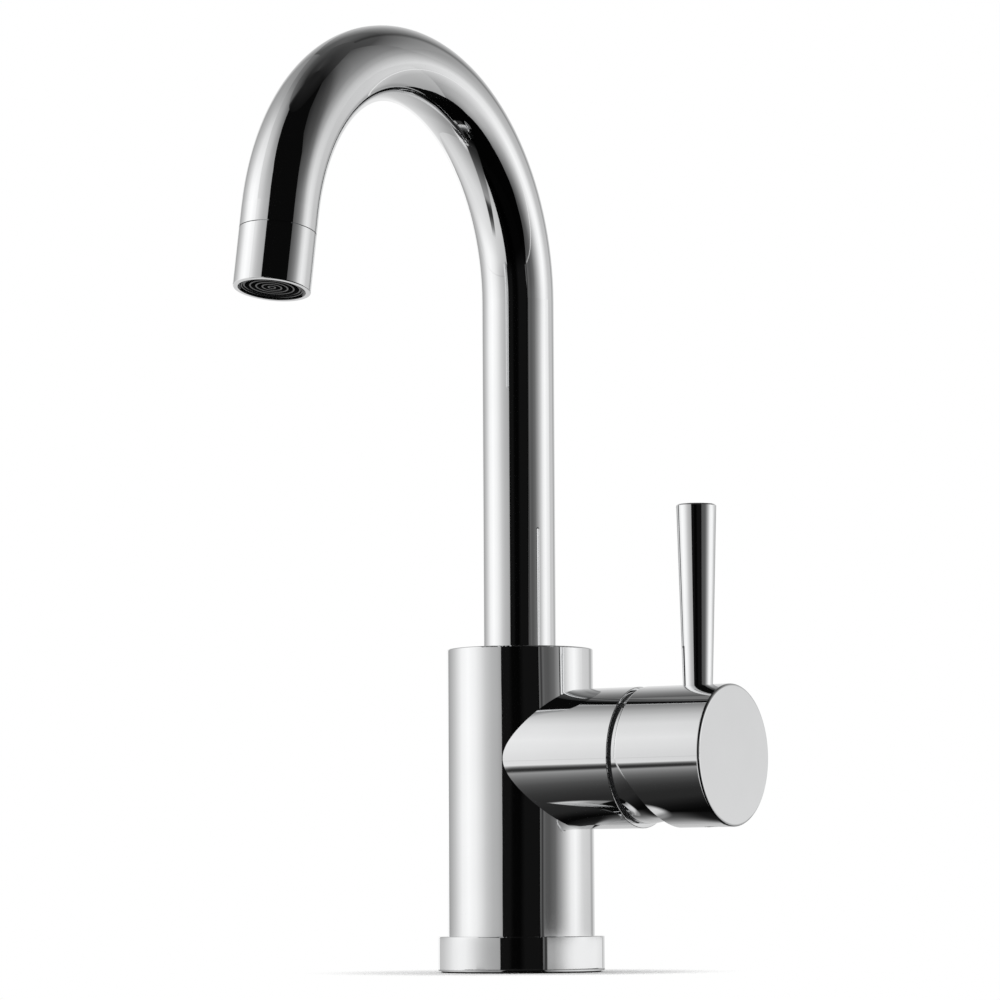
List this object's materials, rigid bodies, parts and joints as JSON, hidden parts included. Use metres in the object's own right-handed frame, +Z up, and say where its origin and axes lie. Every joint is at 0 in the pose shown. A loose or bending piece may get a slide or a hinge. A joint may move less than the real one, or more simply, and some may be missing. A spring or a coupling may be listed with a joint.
{
  "type": "basin mixer tap",
  "caption": "Single-lever basin mixer with a high swivelling swan-neck spout, a side barrel with a pin lever, a ceramic-disc cartridge and an aerator.",
  "frame": {"origin": "mouth of the fixing stud's hole, on the column's axis and the deck plane", "axes": "+Z up along the column, +X along the side barrel towards the lever, -Y towards the basin, where the spout points at rest"},
  "size_m": [0.112, 0.1855, 0.3126],
  "materials": {
    "chrome": "polished",
    "brass": "machined",
    "steel": "machined",
    "rubber": "matte",
    "ceramic": "lapped",
    "white_plastic": "moulded",
    "grey_plastic": "moulded",
    "red_plastic": "moulded",
    "dark_plastic": "moulded"
  },
  "bodies": {
    "base": {"base_gasket": "rubber", "base_ring": "chrome", "body": "chrome", "top_glide_ring": "dark_plastic", "swing_stop_screw": "steel", "cartridge_base": "white_plastic", "front_inlet_seal": "rubber", "rear_inlet_seal": "rubber", "outlet_seal": "rubber", "cartridge_housing": "white_plastic", "fixed_disc": "ceramic", "cartridge_nut": "brass", "limiter_ring": "red_plastic", "dome_seat_ring": "dark_plastic", "dome_cover": "chrome"},
    "spout": {"spout_tube": "chrome", "spout_nipple": "brass", "lower_glide_ring": "dark_plastic", "lower_o_ring": "rubber", "upper_o_ring": "rubber", "spout_end_piece": "chrome", "outlet_collar": "chrome", "collar_gasket": "rubber", "aerator_housing": "dark_plastic", "inlet_strainer": "white_plastic", "jet_plate": "grey_plastic", "mesh_screen": "steel", "outlet_grille": "dark_plastic"},
    "rotor": {"cartridge_rotor": "grey_plastic", "pivot_pin": "steel"},
    "disc": {"moving_disc": "ceramic", "disc_carrier": "grey_plastic"},
    "handle": {"stem": "steel", "handle_hub": "chrome", "lever_rod": "chrome", "handle_grub_screw": "steel", "screw_plug": "grey_plastic"}
  },
  "joints": [
    {"name": "spout_swing", "type": "hinge", "parent": "base", "child": "spout", "pos_m": [0, 0, 0.1], "axis": [0, 0, 1], "range_deg": [-60, 60]},
    {"name": "temperature_turn", "type": "hinge", "parent": "base", "child": "rotor", "pos_m": [0.05, 0, 0.0715], "axis": [1, 0, 0], "range_deg": [-50, 50]},
    {"name": "lever_tilt", "type": "hinge", "parent": "rotor", "child": "handle", "pos_m": [0.05, 0, 0.0715], "axis": [0, 1, 0], "range_deg": [0, 25]},
    {"name": "disc_slide", "type": "slide", "parent": "rotor", "child": "disc", "axis": [0, 0, 1], "range_m": [0, 0.00423]}
  ],
  "couplings": [
    {"joint": "disc_slide", "follows": "lever_tilt", "m_per_rad": 0.009686}
  ]
}
